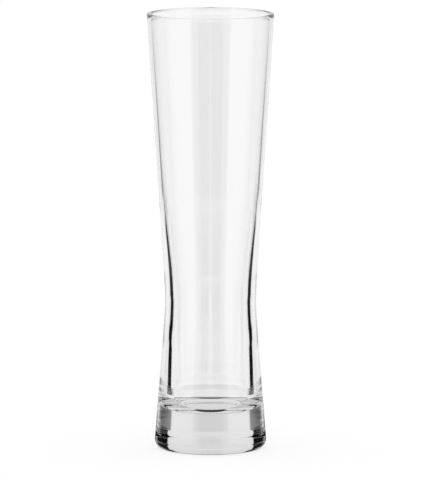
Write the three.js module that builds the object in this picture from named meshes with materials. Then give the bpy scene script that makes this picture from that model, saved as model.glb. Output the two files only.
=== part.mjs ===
// Tall beer glass in clear glass: a blown bowl with a drawn-in waist on a heavy solid foot.
// Millimetres, +Z up. The origin is the centre of the ring that the glass stands on.
import * as THREE from 'three';

// Outline of the bowl: two straight cones that meet in a rounded waist.
const HEIGHT = 235;
const LIP_RADIUS = 34.2;
const WAIST_HEIGHT = 79.5;
const WAIST_RADIUS = 24.1;
const WAIST_ROUNDING = 0.3;

// Wall of the bowl: even down to the shoulder, thicker at the waist, thickest at the heel.
const LIP_WALL = 2.5;
const WAIST_WALL = 4.5;
const HEEL_WALL = 6.8;
const THICKENING_LENGTH = 58;

// Bottom of the bowl's cavity: a flat floor, with an oval rounding up to the heel.
const FLOOR_THICKNESS = 3;
const FLOOR_CORNER_WIDTH = 6;
const FLOOR_CORNER_RISE = 10;

// Foot: a solid cone with a rounded lower edge, standing on a narrow ring round a flat dish.
const FOOT_HEIGHT = 18;
const FOOT_RADIUS = 29.92;
const FOOT_CORNER_RADIUS = 5.5;
const SEAM_RADIUS = 29.01;
const SEAM_STEP = 0.2;
const RING_WIDTH = 2;
const DISH_DEPTH = 3.5;
const DISH_SLOPE_WIDTH = 3;

// Facets.
const SIDES = 60;
const LOWER_RINGS = 6;
const UPPER_RINGS = 8;
const CORNER_STEPS = 6;

// Points on an oval arc, as radius and height.
function arc(centreRadius, centreHeight, width, rise, fromAngle, toAngle) {
  const clockwise = toAngle < fromAngle;
  const curve = new THREE.EllipseCurve(
    centreRadius, centreHeight, width, rise, fromAngle, toAngle, clockwise);
  return curve.getPoints(CORNER_STEPS);
}

// Evenly spaced values from one up to another, without the last.
function climb(from, to, count) {
  return Array.from({ length: count }, (_, i) => THREE.MathUtils.lerp(from, to, i / count));
}

// Outer radius of the bowl. The waist is a hyperbola with the two cones as its asymptotes.
function outerRadius(height) {
  const upperSlope = (LIP_RADIUS - WAIST_RADIUS) / (HEIGHT - WAIST_HEIGHT);
  const lowerSlope = (SEAM_RADIUS - WAIST_RADIUS) / (WAIST_HEIGHT - FOOT_HEIGHT);
  const upperCone = WAIST_RADIUS + upperSlope * (height - WAIST_HEIGHT);
  const lowerCone = WAIST_RADIUS + lowerSlope * (WAIST_HEIGHT - height);
  return (upperCone + lowerCone) / 2 + Math.hypot((upperCone - lowerCone) / 2, WAIST_ROUNDING);
}

// Wall thickness of the bowl at a height above the heel.
function wallThickness(height, heel) {
  if (height >= WAIST_HEIGHT) {
    const shoulder = WAIST_HEIGHT + THICKENING_LENGTH;
    const thinning = THREE.MathUtils.smoothstep(height, WAIST_HEIGHT, shoulder);
    return THREE.MathUtils.lerp(WAIST_WALL, LIP_WALL, thinning);
  }
  const drop = (WAIST_HEIGHT - height) / (WAIST_HEIGHT - heel);
  return THREE.MathUtils.lerp(WAIST_WALL, HEEL_WALL, drop ** 2);
}

// Section of the bowl, from the axis under the floor, up the outside and down the inside.
function bowlSection() {
  const floor = FOOT_HEIGHT + FLOOR_THICKNESS;
  const heel = floor + FLOOR_CORNER_RISE;
  const lipRadius = LIP_WALL / 2;
  const lipHeight = HEIGHT - lipRadius;
  const heights = [
    ...climb(heel, WAIST_HEIGHT, LOWER_RINGS),
    ...climb(WAIST_HEIGHT, WAIST_HEIGHT + THICKENING_LENGTH, UPPER_RINGS),
    WAIST_HEIGHT + THICKENING_LENGTH,
  ];
  const outside = heights.map((z) => new THREE.Vector2(outerRadius(z), z));
  const inside = heights.map((z) => new THREE.Vector2(outerRadius(z) - wallThickness(z, heel), z));
  const lip = arc(outerRadius(lipHeight) - lipRadius, lipHeight, lipRadius, lipRadius, 0, Math.PI);
  const cornerCentre = inside[0].x - FLOOR_CORNER_WIDTH;
  const corner = arc(cornerCentre, heel, FLOOR_CORNER_WIDTH, FLOOR_CORNER_RISE, 0, -Math.PI / 2);
  return [
    new THREE.Vector2(0, FOOT_HEIGHT),
    new THREE.Vector2(outerRadius(FOOT_HEIGHT), FOOT_HEIGHT),
    ...outside,
    ...lip,
    ...inside.slice(1).reverse(),
    ...corner,
    new THREE.Vector2(0, floor),
  ];
}

// Section of the foot, from the axis over the dish, out along the ring and up to the seam.
function footSection() {
  const cornerCentre = FOOT_RADIUS - FOOT_CORNER_RADIUS;
  const topRadius = outerRadius(FOOT_HEIGHT) - SEAM_STEP;
  const rise = FOOT_HEIGHT - FOOT_CORNER_RADIUS;
  const run = topRadius - cornerCentre;
  const slant = Math.hypot(run, rise);
  const tangentAngle = Math.acos(FOOT_CORNER_RADIUS / slant) - Math.atan2(rise, run);
  const edge = arc(
    cornerCentre, FOOT_CORNER_RADIUS, FOOT_CORNER_RADIUS, FOOT_CORNER_RADIUS, -Math.PI / 2, -tangentAngle);
  const dishRim = cornerCentre - RING_WIDTH;
  const dishTop = dishRim - DISH_SLOPE_WIDTH;
  const dishSide = climb(dishTop, dishRim, CORNER_STEPS).map((radius) => {
    const fall = THREE.MathUtils.smoothstep(radius, dishTop, dishRim);
    return new THREE.Vector2(radius, DISH_DEPTH * (1 - fall));
  });
  return [
    new THREE.Vector2(0, DISH_DEPTH),
    ...dishSide,
    new THREE.Vector2(dishRim, 0),
    ...edge,
    new THREE.Vector2(topRadius, FOOT_HEIGHT),
    new THREE.Vector2(0, FOOT_HEIGHT),
  ];
}

// A section turned about the vertical axis.
function turned(name, section, material) {
  const geometry = new THREE.LatheGeometry(section, SIDES);
  geometry.rotateX(Math.PI / 2);
  const mesh = new THREE.Mesh(geometry, material);
  mesh.name = name;
  return mesh;
}

// Clear glass, fire-polished on the bowl and a little duller where the foot was pressed.
function clearGlass(roughness) {
  return new THREE.MeshStandardMaterial({
    color: 0xf1f5f4,
    roughness,
    metalness: 0,
    transparent: true,
    opacity: 0.35,
  });
}

const beerGlass = new THREE.Group();
beerGlass.add(turned('bowl', bowlSection(), clearGlass(0.02)));
beerGlass.add(turned('foot', footSection(), clearGlass(0.04)));

export default beerGlass;
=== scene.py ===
"""Tall beer glass in clear glass, laid out as an add-on: sizes and finish as properties, one
operator for the glass, one for the studio that it stands in, and a panel that lists both.
Metres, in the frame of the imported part: +Z up, origin at the centre of the standing ring."""
import math

import bmesh
import bpy
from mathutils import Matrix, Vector


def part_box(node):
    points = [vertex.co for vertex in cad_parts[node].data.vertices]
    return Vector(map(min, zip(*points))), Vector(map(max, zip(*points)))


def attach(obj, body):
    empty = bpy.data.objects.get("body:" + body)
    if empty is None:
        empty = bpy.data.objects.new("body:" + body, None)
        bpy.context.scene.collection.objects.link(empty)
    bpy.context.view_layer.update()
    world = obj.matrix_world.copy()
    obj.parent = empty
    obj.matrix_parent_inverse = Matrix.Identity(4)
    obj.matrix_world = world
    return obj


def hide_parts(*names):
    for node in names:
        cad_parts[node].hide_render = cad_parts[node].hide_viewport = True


bl_info = {
    "name": "Beer Glass",
    "version": (1, 0, 0),
    "blender": (4, 5, 0),
    "location": "View3D > Sidebar > Beer Glass",
    "description": "Builds a tall clear beer glass and the studio that it is seen in",
    "category": "Object",
}

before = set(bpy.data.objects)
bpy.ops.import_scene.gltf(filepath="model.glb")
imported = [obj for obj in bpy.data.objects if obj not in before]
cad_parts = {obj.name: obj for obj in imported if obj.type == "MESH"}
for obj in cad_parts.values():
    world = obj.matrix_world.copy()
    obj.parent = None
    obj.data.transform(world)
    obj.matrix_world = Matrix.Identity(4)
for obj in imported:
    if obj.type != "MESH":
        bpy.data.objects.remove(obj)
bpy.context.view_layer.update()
BOWL_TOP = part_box("bowl")[1]
FOOT_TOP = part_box("foot")[1]

MM = 0.001
DEGREE = math.radians(1)

# Steps of the mesh along the section: flat dish and floor, slope of the dish, standing ring, foot's
# edge, lip and corner of the cavity.
FLAT_STEPS = 5
SLOPE_STEPS = 16
RING_STEPS = 4
EDGE_STEPS = 24
LIP_STEPS = 20
CORNER_STEPS = 32
# Radius in metres below which a point of the section lies on the axis.
ON_AXIS = 1e-9

# Image in pixels, and how far the camera sees in metres.
IMAGE_SIZE = (432, 480)
VIEW_REACH = 100.0
# Bounces that light may make in all or through glass, and those in a mirror.
LIGHT_BOUNCES = 32
MIRROR_BOUNCES = 8
# Faces round the floor.
FLOOR_SIDES = 96
# White table: its colour, the strength of its glow, the share of it that takes shadow, and the level
# of the even dark glow, a painted shade, at which the glass mirrors it.
TABLE_COLOUR = "#FDFDFD"
TABLE_GLOW = 1.02
SHADOW_SHARE = 0.25
MIRRORED_PAINTED_SHADE = 0.02


def linear(hex_colour):
    """A colour written as sRGB hex, as the linear values that shaders take, and full alpha."""
    channels = [int(hex_colour[i:i + 2], 16) / 255 for i in (1, 3, 5)]
    return [c / 12.92 if c <= 0.04045 else ((c + 0.055) / 1.055) ** 2.4 for c in channels] + [1.0]


WHITE = linear("#FFFFFF")


def length(name, default_mm, description):
    """A length property, with its default in millimetres."""
    return bpy.props.FloatProperty(
        name=name, description=description, default=default_mm * MM, min=0.0, unit="LENGTH",
        precision=5)


class GlassSizes(bpy.types.PropertyGroup):
    """Sizes of the glass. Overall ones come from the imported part."""

    height: length("Height", BOWL_TOP.z / MM, "Height of the lip above the table")
    lip_radius: length("Lip radius", BOWL_TOP.x / MM, "Outer radius at the lip")
    waist_height: length("Waist height", 79.5, "Height at which the two cones of the side meet")
    waist_radius: length("Waist radius", 23.85, "Radius at which the two cones would meet")
    waist_rounding: length("Waist rounding", 0.6, "How far the waist stands out from that corner")
    lip_wall: length("Lip wall", 2.5, "Thickness of the wall from the lip to the shoulder")
    lip_rise: length("Lip rise", 0.6, "Height of the lip's rounding, which is an oval")
    waist_wall: length("Waist wall", 4.5, "Thickness of the wall at the waist")
    heel_wall: length("Heel wall", 6.8, "Thickness of the wall where the floor's rounding starts")
    thickening: length("Thickening", 58.0, "Length above the waist over which the wall thickens")
    floor_height: length("Floor height", 21.0, "Height of the bowl's inner floor")
    floor_corner: length("Floor corner", 6.0, "Width of the rounding from inner wall to inner floor")
    floor_rise: length("Floor rise", 10.0, "Height of that rounding, which is an oval")
    foot_height: length("Foot height", FOOT_TOP.z / MM, "Height of the seam between foot and bowl")
    foot_radius: length("Foot radius", 29.92, "Widest radius of the foot")
    foot_corner: length("Foot corner", 5.5, "Radius of the foot's lower edge")
    seam_radius: length("Seam radius", 29.01, "Outer radius of the bowl at the seam")
    seam_step: length("Seam step", 0.2, "How far the foot stands in from the bowl at the seam")
    seam_blend: length("Seam blend", 6.0, "Height over which the step at the seam is melted smooth")
    ring_width: length("Ring width", 2.0, "Width of the ring that the glass stands on")
    dish_depth: length("Dish depth", 3.5, "Depth of the flat dish under the foot")
    dish_slope: length("Dish slope", 3.0, "Width of the sloping side of that dish")
    ring_step: length("Ring step", 2.5, "Distance between the rings of the mesh along the side")
    sides: bpy.props.IntProperty(
        name="Sides", description="Faces of the mesh round the axis", default=192, min=24)


class GlassFinish(bpy.types.PropertyGroup):
    """Finish of the glass."""

    ior: bpy.props.FloatProperty(
        name="IOR", description="Refractive index of soda-lime glass", default=1.52, min=1.0)
    body: bpy.props.StringProperty(
        name="Body", description="Colour left of white light after one body depth, as sRGB hex",
        default="#999B9A")
    body_depth: length("Body depth", 320.0, "Depth of glass that gives white light the body colour")
    cord_width: length("Cord width", 9.0, "Width of the faint cords drawn up the wall")
    cord_length: length("Cord length", 140.0, "Length of those cords")
    cord_height: length("Cord height", 0.008, "How far the cords stand out")
    mark_step: length("Mark step", 1.4, "Distance between the rings that the tool left at the heel")
    mark_height: length("Mark height", 0.004, "How far those rings stand out")
    mark_tint: bpy.props.StringProperty(
        name="Mark tint", description="Colour of light that passes those rings, as sRGB hex",
        default="#F9FAFA")
    # After these bounces the glass shows a painted glow.
    painted_glow_bounces: bpy.props.FloatProperty(
        name="Guided bounces", description="Bounces after which light counts as guided by the wall",
        default=4.5)


class StudioSettings(bpy.types.PropertyGroup):
    """Camera and floor."""

    camera_distance: bpy.props.FloatProperty(
        name="Camera distance", description="From the glass's axis, along the table", default=4.5,
        unit="LENGTH")
    camera_height: bpy.props.FloatProperty(
        name="Camera height", description="Above the table", default=0.669, unit="LENGTH")
    pixels_per_mm: bpy.props.FloatProperty(
        name="Pixels per millimetre", description="Scale of the image at the aim point", default=1.865)
    axis_column: bpy.props.FloatProperty(
        name="Axis column", description="Image column of the glass's axis, in pixels", default=210.5)
    aim_height: length("Aim height", 112.72, "Height on the axis that lies on the image's middle row")
    # Inside this radius the foot's shade is painted on the floor, as only the glass shows it.
    shade_radius: length("Shade radius", 47.5, "Radius of the foot's shade on the floor")
    # Beyond this radius dark cards are painted on the floor, as only the glass shows it.
    card_radius: length("Card radius", 135.0, "Radius at which the dark cards on the floor start")
    floor_radius: bpy.props.FloatProperty(
        name="Floor radius", description="Radius of the pale floor", default=12.0, unit="LENGTH")


def even(level):
    """One level of light all round, as stops at turns in degrees."""
    return (0, level), (180, level)


# What the glass sees round it, from the table up to the ceiling: a white backdrop, dark cards on
# both sides of it, soft boxes beside the camera and a dark gap round the camera. Each band gives the
# elevations between which it takes over from the band below, and levels of light at turns in
# degrees. Turns start from the line away from the camera and grow to both sides alike.
SOFT_BOXES = ((103, 1.03), (141, 1.03), (142.5, 0.37), (155, 0.37), (157, 0.0), (180, 0.0))
CARD_END = ((81, 0.2), (94, 0.87), *SOFT_BOXES)
CEILING = (55, 70, even(0.5))
# As the side of the glass mirrors it.
MIRRORED = (
    (-90, -90, ((0, 0.95), (45, 0.95), (54, 0.6), (64, 0.46), (74, 0.32), *CARD_END)),
    (-12, -9, ((0, 0.95), (45, 0.95), (50, 0.2), (62, 0.1), (74, 0.1), *CARD_END)),
    (-4.5, -3.5, ((0, 0.95), (44, 0.95), (48, 0.004), (76, 0.004), *CARD_END)),
    (18, 25, ((0, 0.95), (39, 0.95), (42, 0.04), (76, 0.04), (94, 0.9), (180, 0.9))),
    CEILING,
)
# As it shows through the glass.
SEEN_THROUGH = (
    (-90, -90, ((0, 0.2), (1.5, 0.2), (3.5, 0.92), (180, 0.92))),
    (-36, -33, even(0.92)),
    (-22, -20, ((0, 0.82), (9, 0.82), (15, 0.95), (36, 0.95), (38, 0.3), (50, 0.17), (62, 0.09),
                (68, 0.05), (72, 0.9), (180, 0.9))),
    (-12.5, -11, ((0, 0.95), (39, 0.95), (40.5, 0.004), (66, 0.004), (72, 0.9), *SOFT_BOXES)),
    (4, 6, ((0, 0.87), (5, 0.87), (12, 0.95), (39, 0.95), (40.5, 0.004), (66, 0.004), (72, 0.9),
            (180, 0.9))),
)
# Above that, as light finds it after a bounce inside the glass, and the cards' tops, which light
# finds that had none.
OPEN_SKY = ((18, 22, even(0.95)), CEILING)
CARD_TOPS = (
    (18, 22, ((0, 0.95), (34.5, 0.95), (36.5, 0.01), (58, 0.01), (62, 0.9), (180, 0.9))),
    (38, 42, even(0.95)),
    CEILING,
)
# Table further out, as it shows through the glass: its own white, and dark cards painted on it as
# a glow that only the glass shows, measured in the same way. Each ring of cards gives the radii in
# millimetres between which it takes over from the ring inside it.
FAR_WHITE = 0.95
SIDE_GAP = ((76, 0.95), *CARD_END)
WIDE_CARD = ((0, 0.95), (39, 0.95), (40.5, 0.0), (57, 0.0), (59, 0.95), *SIDE_GAP)
PAINTED_CARD_RINGS = (
    (0, 0, WIDE_CARD),
    (330, 370, ((0, 0.95), (35.5, 0.95), (37, 0.0), (52, 0.0), (55, 0.95), *SIDE_GAP)),
    (460, 540, WIDE_CARD),
    (750, 900, ((0, 0.95), (32.5, 0.95), (34.5, 0.22), (41, 0.22), (43, 0.6), *SIDE_GAP)),
)
# Radii in millimetres over which the cards pale.
CARD_FADE = (900, 2040)
# Where the light that finds those cards leaves the wall, in millimetres to the side and away from
# the camera.
WALL_EXIT = (26.5, -5)
# Faces that light passes in the foot alone.
FOOT_FACES = 2
# Half a bounce or a face, to tell whole numbers apart.
HALF = 0.5
# The bounce in the wall after which light is weak, the share that it loses, the turns between which
# that starts, and the elevations between which it ends.
WEAK_BOUNCE = 3
WEAK_LOSS = 0.9
WEAK_TURNS = (11, 15)
WEAK_BELOW = (10, 15)
# Painted glow of the glass, in place of light that the wall guides, by the height in millimetres at
# which it comes out and by the turn.
PAINTED_GUIDED_GLOW = (
    (0, 0, even(0.0)),
    (4, 8, even(0.85)),
    (44, 50, even(0.0)),
    (88, 92, ((0, 0.85), (72, 0.85), (80, 0.0), (180, 0.0))),
    (124, 130, even(0.0)),
    (140, 180, ((0, 0.8), (24, 0.8), (42, 0.08), (50, 0.0), (87, 0.0), (93, 0.8), (180, 0.8))),
)
# Strength of the tool's marks at heights in millimetres.
TOOL_MARKS = ((31, 0.0), (32, 1.0), (34, 1.0), (35, 0.0))
# Painted light and shade on the table under the glass and beside its foot, which only the glass
# shows, at radii in millimetres.
PAINTED_FOOT_SHADOW = ((0, 0.85), (40, 0.85), (41, 0.03), (47.5, 0.03))
# Painted dark oval spots of shade there, each with its centre and its half widths in millimetres,
# and the shares of those half widths between which a spot ends.
PAINTED_SHADE_SPOTS = (((0, -22), (17, 10)), ((0, 42), (8, 10)))
SPOT_EDGE = (0.85, 1.1)


def set_inputs(tree, node, inputs):
    """Gives inputs of a node their links, where a socket is given, or else their plain values."""
    for key, given in inputs.items():
        if isinstance(given, bpy.types.NodeSocket):
            tree.links.new(given, node.inputs[key])
        else:
            node.inputs[key].default_value = given


def add_node(tree, kind, inputs=None, **settings):
    """Adds one node, with its settings and its inputs."""
    node = tree.nodes.new(kind)
    for key, value in settings.items():
        setattr(node, key, value)
    set_inputs(tree, node, inputs or {})
    return node


def calculate(tree, operation, *terms, clamp=False):
    """Result of one sum with up to three terms."""
    node = add_node(tree, "ShaderNodeMath", dict(enumerate(terms)), operation=operation, use_clamp=clamp)
    return node.outputs[0]


def calculate_vector(tree, operation, *terms):
    """Result of one sum with vectors."""
    node = add_node(tree, "ShaderNodeVectorMath", dict(enumerate(terms)), operation=operation)
    return node.outputs["Value" if operation == "LENGTH" else "Vector"]


def map_range(tree, value, low, high, start=0.0, end=1.0):
    """Goes from start to end while the value goes from low to high, and stays there outside."""
    node = add_node(tree, "ShaderNodeMapRange", {0: value, 1: low, 2: high, 3: start, 4: end})
    return node.outputs[0]


def blend(tree, share, first, second):
    """The first colour at share 0, the second at share 1."""
    node = add_node(tree, "ShaderNodeMix", {0: share, 6: first, 7: second}, data_type="RGBA")
    return node.outputs[2]


def blend_shaders(tree, share, first, second):
    """The first shader at share 0, the second at share 1."""
    return add_node(tree, "ShaderNodeMixShader", {0: share, 1: first, 2: second}).outputs[0]


def emission(tree, colour, strength=1.0):
    """Light of a colour and strength."""
    return add_node(tree, "ShaderNodeEmission", {"Color": colour, "Strength": strength}).outputs[0]


def split(tree, vector):
    """Outputs X, Y and Z of a vector."""
    return add_node(tree, "ShaderNodeSeparateXYZ", {0: vector}).outputs


def side_turn(tree, axes, start_mm=(0, 0)):
    """Turn from the line away from the camera, to both sides alike, seen from a point that is given
    to the side and away from the camera."""
    aside = calculate(tree, "ABSOLUTE", axes["X"])
    across = calculate(tree, "SUBTRACT", aside, start_mm[0] * MM)
    along = calculate(tree, "SUBTRACT", axes["Y"], start_mm[1] * MM)
    return calculate(tree, "ARCTAN2", across, along)


def grey(level):
    """A level of light as a colour."""
    return level, level, level, 1.0


def light_ramp(tree, measure, unit, stops):
    """Levels of light along a measure, at places that the stops give in the unit."""
    first, last = stops[0][0], stops[-1][0]
    share = map_range(tree, measure, first * unit, last * unit)
    node = add_node(tree, "ShaderNodeValToRGB", {0: share})
    elements = node.color_ramp.elements
    while len(elements) < len(stops):
        elements.new(0.5)
    for element, (place, level) in zip(elements, stops):
        element.position = (place - first) / (last - first)
        element.color = grey(level)
    return node.outputs[0]


def light_bands(tree, turn, measure, unit, bands):
    """Levels of light by turn, in bands that take over from one another along a measure that the
    bands give in the unit."""
    light = light_ramp(tree, turn, DEGREE, bands[0][-1])
    for low, high, stops in bands[1:]:
        share = map_range(tree, measure, low * unit, high * unit)
        light = blend(tree, share, light, light_ramp(tree, turn, DEGREE, stops))
    return light


def smoothstep(value, low, high):
    """0 below low, 1 above high, and an even S between."""
    t = min(1.0, max(0.0, (value - low) / (high - low)))
    return t * t * (3 - 2 * t)


def mix(a, b, share):
    """a at share 0, b at share 1."""
    return a + (b - a) * share


def arc(centre_radius, centre_height, width, rise, start, end, steps):
    """Points on an oval arc, as radius and height, from one angle to another in degrees."""
    angles = [math.radians(mix(start, end, i / steps)) for i in range(steps + 1)]
    return [(centre_radius + width * math.cos(a), centre_height + rise * math.sin(a)) for a in angles]


def climb(low, high, step):
    """Heights from low to high, evenly spaced at about one step."""
    count = max(1, round((high - low) / step))
    return [mix(low, high, i / count) for i in range(count + 1)]


class GlassOutline:
    """Section of the glass as one closed line, because bowl and foot are fused."""

    def __init__(self, sizes):
        self.s = sizes
        self.lip_round = sizes.lip_wall / 2
        self.lip_height = sizes.height - sizes.lip_rise
        self.heel = sizes.floor_height + sizes.floor_rise
        self.corner_centre = sizes.foot_radius - sizes.foot_corner
        self.foot_top = sizes.seam_radius - sizes.seam_step
        run = self.foot_top - self.corner_centre
        rise = sizes.foot_height - sizes.foot_corner
        slant = math.hypot(run, rise)
        self.foot_lean = math.atan2(rise, run) - math.acos(sizes.foot_corner / slant)

    def bowl_radius(self, z):
        """Outer radius of the bowl: two cones that meet in a hyperbola at the waist."""
        s = self.s
        upper_slope = (s.lip_radius - s.waist_radius) / (self.lip_height - s.waist_height)
        lower_slope = (s.seam_radius - s.waist_radius) / (s.waist_height - s.foot_height)
        upper = s.waist_radius + upper_slope * (z - s.waist_height)
        lower = s.waist_radius + lower_slope * (s.waist_height - z)
        return (upper + lower) / 2 + math.hypot((upper - lower) / 2, s.waist_rounding)

    def outer_radius(self, z):
        """Outer radius of the glass above the foot's rounded edge, with the seam melted smooth."""
        s = self.s
        foot = self.foot_top + (s.foot_height - z) * math.tan(self.foot_lean)
        share = smoothstep(z, s.foot_height - s.seam_blend / 2, s.foot_height + s.seam_blend / 2)
        return mix(foot, self.bowl_radius(z), share)

    def wall(self, z):
        """Thickness of the wall above the heel."""
        s = self.s
        if z >= s.waist_height:
            thinning = smoothstep(z, s.waist_height, s.waist_height + s.thickening)
            return mix(s.waist_wall, s.lip_wall, thinning)
        drop = (s.waist_height - z) / (s.waist_height - self.heel)
        return mix(s.waist_wall, s.heel_wall, drop ** 2)

    def points(self):
        """Radius and height along the section, from the dish's centre round to the floor's centre."""
        s = self.s
        flat = [i / FLAT_STEPS for i in range(FLAT_STEPS)]
        ring_inner = self.corner_centre - s.ring_width
        dish_inner = ring_inner - s.dish_slope
        dish = [(dish_inner * share, s.dish_depth) for share in flat]
        dish += [(r, s.dish_depth * (1 - smoothstep(r, dish_inner, ring_inner)))
                 for r in climb(dish_inner, ring_inner, s.dish_slope / SLOPE_STEPS)]
        ring = [(ring_inner + s.ring_width * i / RING_STEPS, 0.0) for i in range(1, RING_STEPS)]
        lean = math.degrees(self.foot_lean)
        edge = arc(
            self.corner_centre, s.foot_corner, s.foot_corner, s.foot_corner, -90, lean, EDGE_STEPS)
        side = [(self.outer_radius(z), z) for z in climb(edge[-1][1], self.lip_height, s.ring_step)]
        lip = arc(
            s.lip_radius - self.lip_round, self.lip_height, self.lip_round, s.lip_rise, 0, 180, LIP_STEPS)
        inner = [(self.bowl_radius(z) - self.wall(z), z)
                 for z in reversed(climb(self.heel, self.lip_height, s.ring_step))]
        corner = arc(
            inner[-1][0] - s.floor_corner, self.heel, s.floor_corner, s.floor_rise, 0, -90, CORNER_STEPS)
        floor = [(corner[-1][0] * share, s.floor_height) for share in reversed(flat)]
        return dish + ring + edge + side[1:] + lip[1:] + inner[1:] + corner[1:] + floor


def turned_mesh(name, section, sides):
    """Mesh of a section turned about the axis. The section starts and ends on the axis."""
    mesh = bmesh.new()
    turns = [2 * math.pi * i / sides for i in range(sides)]
    rings = []
    for radius, z in section:
        if radius < ON_AXIS:
            rings.append([mesh.verts.new((0.0, 0.0, z))])
            continue
        rings.append([mesh.verts.new((radius * math.cos(t), radius * math.sin(t), z)) for t in turns])
    for low, high in zip(rings, rings[1:]):
        for i in range(sides):
            j = (i + 1) % sides
            corners = [low[i % len(low)], low[j % len(low)], high[j % len(high)], high[i % len(high)]]
            mesh.faces.new(list(dict.fromkeys(corners)))
    bmesh.ops.recalc_face_normals(mesh, faces=mesh.faces[:])
    for face in mesh.faces:
        face.smooth = True
    data = bpy.data.meshes.new(name)
    mesh.to_mesh(data)
    mesh.free()
    return data


def wall_cords(tree, place, finish):
    """Faint cords drawn up the wall as the bowl was blown: noise stretched along the axis."""
    stretch = (1 / finish.cord_width, 1 / finish.cord_width, 1 / finish.cord_length)
    drawn = calculate_vector(tree, "MULTIPLY", place, stretch)
    noise = add_node(tree, "ShaderNodeTexNoise", {"Vector": drawn, "Scale": 1.0, "Detail": 1.0})
    return calculate(tree, "MULTIPLY", noise.outputs["Fac"], finish.cord_height)


def tool_marks(tree, height, finish):
    """Fine rings that the tool left round the heel, as a share from 0 to 1."""
    phase = calculate(tree, "MULTIPLY", height, 2 * math.pi / finish.mark_step)
    wave = calculate(tree, "SINE", phase)
    return calculate(tree, "MULTIPLY", wave, light_ramp(tree, height, MM, TOOL_MARKS), clamp=True)


def painted_guided_glow(tree, axes):
    """Painted light: a glow of the glass that stands in for the light that the wall guides like a
    light pipe from the studio to where it comes out.
    """
    return emission(tree, light_bands(tree, side_turn(tree, axes), axes["Z"], MM, PAINTED_GUIDED_GLOW))


def thick_glass(tree, finish):
    """Loss of light in the body of the glass. The density is twice the largest loss, so that the
    node's colour stays between a half and 1."""
    loss = [-math.log(c) / finish.body_depth for c in linear(finish.body)[:3]]
    density = 2 * max(loss)
    passed = [1 - each / density for each in loss] + [1.0]
    body = add_node(tree, "ShaderNodeVolumeAbsorption", {"Color": passed, "Density": density})
    return body.outputs[0]


def clear_glass(finish):
    """Soda-lime glass, blown and pressed, then fire-polished: clear, sharp and nearly colourless,
    with faint cords drawn up the wall that make what is seen through it waver a little, and fine
    rings at the heel. Thick glass takes a little light, so the foot looks greyer than the wall.
    After many bounces inside the wall the glass shows a painted glow in place of guided light."""
    material = bpy.data.materials.new("soda_lime_glass_fire_polished")
    material.use_nodes = True
    tree = material.node_tree
    place = add_node(tree, "ShaderNodeTexCoord").outputs["Object"]
    axes = split(tree, place)
    marks = tool_marks(tree, axes["Z"], finish)
    cords = wall_cords(tree, place, finish)
    relief = calculate(tree, "MULTIPLY_ADD", marks, finish.mark_height, cords)
    bump = add_node(tree, "ShaderNodeBump", {"Height": relief, "Strength": 1.0, "Distance": 1.0})
    shader = tree.nodes["Principled BSDF"]
    set_inputs(tree, shader, {
        "Base Color": blend(tree, marks, WHITE, linear(finish.mark_tint)),
        "Roughness": 0.0,
        "IOR": finish.ior,
        "Transmission Weight": 1.0,
        "Normal": bump.outputs[0],
    })
    # Painted light: after many bounces inside the wall the glass glows, in place of the light that the
    # wall guides.
    path = add_node(tree, "ShaderNodeLightPath").outputs
    guided = calculate(tree, "GREATER_THAN", path["Glossy Depth"], finish.painted_glow_bounces)
    surface = blend_shaders(tree, guided, shader.outputs[0], painted_guided_glow(tree, axes))
    output = tree.nodes["Material Output"]
    set_inputs(tree, output, {"Surface": surface, "Volume": thick_glass(tree, finish)})
    return material


class BEERGLASS_OT_glass(bpy.types.Operator):
    """Builds the glass as one fused body in place of the bowl and the foot"""

    bl_idname = "beer_glass.glass"
    bl_label = "Glass"

    def execute(self, context):
        sizes = context.scene.beer_glass_sizes
        section = GlassOutline(sizes).points()
        glass = bpy.data.objects.new("beer_glass", turned_mesh("beer_glass", section, sizes.sides))
        context.scene.collection.objects.link(glass)
        glass.data.materials.append(clear_glass(context.scene.beer_glass_finish))
        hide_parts("bowl", "foot")
        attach(glass, "root")
        return {"FINISHED"}


def weak_bounce(tree, path, turn):
    """Share of light to pass: little of it after the third bounce inside the wall, unless it comes
    from straight behind, so that the dark lines that the cards draw in the wall stay black."""
    third = calculate(tree, "COMPARE", path["Glossy Depth"], WEAK_BOUNCE, HALF)
    low, high = WEAK_TURNS
    loss = map_range(tree, turn, low * DEGREE, high * DEGREE, 0.0, WEAK_LOSS)
    return calculate(tree, "SUBTRACT", 1.0, calculate(tree, "MULTIPLY", third, loss))


def has_bounced(tree, path):
    """1 for light that bounced inside the glass, 0 for light that only passed it."""
    return calculate(tree, "MINIMUM", path["Glossy Depth"], 1.0)


def bright_field(world):
    """Studio light for glass: a white backdrop, black cards beside it that draw the edges, and
    soft boxes on both sides of the camera. The floor and the camera itself see an even white."""
    world.use_nodes = True
    tree = world.node_tree
    tree.nodes.clear()
    axes = split(tree, add_node(tree, "ShaderNodeTexCoord").outputs["Generated"])
    lift = calculate(tree, "ARCSINE", axes["Z"])
    turn = side_turn(tree, axes)
    path = add_node(tree, "ShaderNodeLightPath").outputs
    mirrored = light_bands(tree, turn, lift, DEGREE, MIRRORED)
    straight = light_bands(tree, turn, lift, DEGREE, SEEN_THROUGH + CARD_TOPS)
    bounced = light_bands(tree, turn, lift, DEGREE, SEEN_THROUGH + OPEN_SKY)
    through = blend(tree, has_bounced(tree, path), straight, bounced)
    seen = blend(tree, path["Is Transmission Ray"], mirrored, through)
    by_glass = calculate(tree, "MAXIMUM", path["Is Glossy Ray"], path["Is Transmission Ray"])
    light = blend(tree, by_glass, WHITE, seen)
    low, high = WEAK_BELOW
    strength = map_range(tree, lift, low * DEGREE, high * DEGREE, weak_bounce(tree, path, turn))
    background = add_node(tree, "ShaderNodeBackground", {"Color": light, "Strength": strength})
    add_node(tree, "ShaderNodeOutputWorld", {"Surface": background.outputs[0]})


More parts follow.
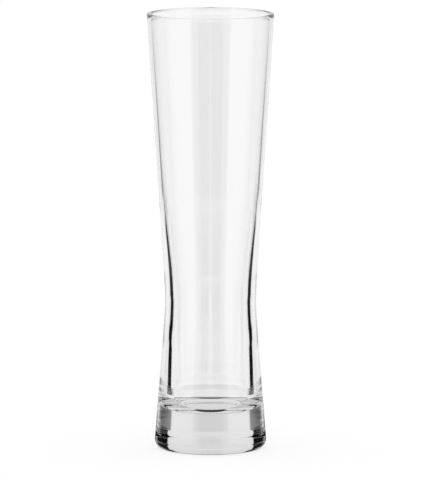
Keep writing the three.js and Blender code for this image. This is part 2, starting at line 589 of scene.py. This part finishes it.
def painted_foot_shade(tree, place):
    """Painted light and shade on the table close to the foot, as a glow that only the glass shows:
    bright under the glass, but for painted shade under its front and straight behind it, and the
    foot's own shadow painted dark round it."""
    level = light_ramp(tree, calculate_vector(tree, "LENGTH", place), MM, PAINTED_FOOT_SHADOW)
    for centre, half_widths in PAINTED_SHADE_SPOTS:
        offset = calculate_vector(tree, "SUBTRACT", place, [c * MM for c in centre] + [0.0])
        scaled = calculate_vector(tree, "DIVIDE", offset, [w * MM for w in half_widths] + [1.0])
        clear = map_range(tree, calculate_vector(tree, "LENGTH", scaled), *SPOT_EDGE)
        level = calculate(tree, "MULTIPLY", level, clear)
    return emission(tree, level)


def painted_far_cards(tree, place):
    """Light on the table further out, as only the glass shows it: white, with dark cards painted on it
    as a glow for light that bounced inside the wall, and painted shade after the third bounce there.
    Turns are measured from where that light leaves the wall. For light that passed the foot alone the
    table steps aside, so that the sky shows in its place."""
    turn = side_turn(tree, split(tree, place), WALL_EXIT)
    reach = calculate_vector(tree, "LENGTH", place)
    path = add_node(tree, "ShaderNodeLightPath").outputs
    cards = light_bands(tree, turn, reach, MM, PAINTED_CARD_RINGS)
    low, high = CARD_FADE
    pale = map_range(tree, reach, low * MM, high * MM)
    dark = calculate(tree, "SUBTRACT", has_bounced(tree, path), pale, clamp=True)
    light = blend(tree, dark, grey(FAR_WHITE), cards)
    # Painted shade: the cards' glow is weak after the third bounce inside the wall.
    shown = emission(tree, light, weak_bounce(tree, path, turn))
    faces = calculate(tree, "ADD", path["Transmission Depth"], path["Glossy Depth"])
    by_foot = calculate(tree, "LESS_THAN", faces, FOOT_FACES + HALF)
    aside = add_node(tree, "ShaderNodeBsdfTransparent").outputs[0]
    return blend_shaders(tree, by_foot, shown, aside)


def white_table(name, seen_through_glass):
    """Matt white table that fades into the backdrop and takes a soft shadow. The glass mirrors it
    as a painted shade of the foot: an even dark glow. What it shows of it through itself is the
    shader that the given function makes, if there is one."""
    material = bpy.data.materials.new(name)
    material.use_nodes = True
    tree = material.node_tree
    matt = tree.nodes["Principled BSDF"]
    set_inputs(tree, matt, {
        "Base Color": linear(TABLE_COLOUR),
        "Roughness": 1.0,
        "Specular IOR Level": 0.0,
    })
    path = add_node(tree, "ShaderNodeLightPath").outputs
    table = blend_shaders(tree, SHADOW_SHARE, emission(tree, WHITE, TABLE_GLOW), matt.outputs[0])
    # Painted shade: the glass mirrors the table as an even dark glow.
    table = blend_shaders(tree, path["Is Glossy Ray"], table, emission(tree, grey(MIRRORED_PAINTED_SHADE)))
    if seen_through_glass:
        place = add_node(tree, "ShaderNodeTexCoord").outputs["Object"]
        shown = seen_through_glass(tree, place)
        table = blend_shaders(tree, path["Is Transmission Ray"], table, shown)
    set_inputs(tree, tree.nodes["Material Output"], {"Surface": table})
    return material


class BEERGLASS_OT_stage(bpy.types.Operator):
    """Sets the floor, the light and the camera"""

    bl_idname = "beer_glass.stage"
    bl_label = "Stage"

    def floor(self, name, inner, outer):
        """A flat ring of floor, or a disc if it has no inner radius."""
        mesh = bmesh.new()
        bmesh.ops.create_circle(mesh, cap_ends=not inner, segments=FLOOR_SIDES, radius=outer)
        if inner:
            bmesh.ops.create_circle(mesh, segments=FLOOR_SIDES, radius=inner)
            bmesh.ops.bridge_loops(mesh, edges=mesh.edges[:])
        data = bpy.data.meshes.new(name)
        mesh.to_mesh(data)
        mesh.free()
        return bpy.data.objects.new(name, data)

    def execute(self, context):
        scene = context.scene
        studio = scene.beer_glass_studio
        scene.view_settings.view_transform = "Standard"
        scene.cycles.max_bounces = LIGHT_BOUNCES
        scene.cycles.transmission_bounces = LIGHT_BOUNCES
        scene.cycles.glossy_bounces = MIRROR_BOUNCES
        scene.world = bpy.data.worlds.new("bright_field")
        bright_field(scene.world)

        # Through the glass: painted shade near the foot, the sky in between, and painted dark cards
        # further out.
        zones = (
            ("near_floor", 0.0, studio.shade_radius, painted_foot_shade),
            ("floor", studio.shade_radius, studio.card_radius, None),
            ("far_floor", studio.card_radius, studio.floor_radius, painted_far_cards),
        )
        for name, inner, outer, seen_through_glass in zones:
            floor = self.floor(name, inner, outer)
            # The glass mirrors only the floors near the foot, which show it the painted shade.
            floor.visible_glossy = outer < studio.floor_radius
            floor.visible_transmission = seen_through_glass is not None
            floor.data.materials.append(white_table(f"white_table_{name}", seen_through_glass))
            scene.collection.objects.link(floor)

        camera = bpy.data.objects.new("camera", bpy.data.cameras.new("camera"))
        scene.collection.objects.link(camera)
        place = Vector((0.0, -studio.camera_distance, studio.camera_height))
        off_axis = (IMAGE_SIZE[0] / 2 - studio.axis_column) / studio.pixels_per_mm * MM
        aim = Vector((off_axis, 0.0, studio.aim_height))
        camera.location = place
        camera.rotation_euler = (aim - place).to_track_quat("-Z", "Y").to_euler()
        image_height = IMAGE_SIZE[1] / studio.pixels_per_mm * MM
        camera.data.lens = camera.data.sensor_width * (aim - place).length / image_height
        camera.data.clip_end = VIEW_REACH
        scene.camera = camera
        return {"FINISHED"}


class BEERGLASS_PT_panel(bpy.types.Panel):
    """Lists the glass and its stage"""

    bl_idname = "BEERGLASS_PT_panel"
    bl_label = "Beer Glass"
    bl_space_type = "VIEW_3D"
    bl_region_type = "UI"
    bl_category = "Beer Glass"

    def draw(self, context):
        for operator in (BEERGLASS_OT_glass, BEERGLASS_OT_stage):
            self.layout.operator(operator.bl_idname)


GROUPS = {
    "beer_glass_sizes": GlassSizes,
    "beer_glass_finish": GlassFinish,
    "beer_glass_studio": StudioSettings,
}
CLASSES = (*GROUPS.values(), BEERGLASS_OT_glass, BEERGLASS_OT_stage, BEERGLASS_PT_panel)


def register():
    """Registers the classes and hangs the property groups on the scene."""
    for cls in CLASSES:
        bpy.utils.register_class(cls)
    for name, group in GROUPS.items():
        setattr(bpy.types.Scene, name, bpy.props.PointerProperty(type=group))


def unregister():
    """Takes the property groups and the classes away again."""
    for name in GROUPS:
        delattr(bpy.types.Scene, name)
    for cls in reversed(CLASSES):
        bpy.utils.unregister_class(cls)


def main():
    """Registers the add-on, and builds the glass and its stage."""
    register()
    bpy.ops.beer_glass.glass()
    bpy.ops.beer_glass.stage()


if __name__ == "__main__":
    main()
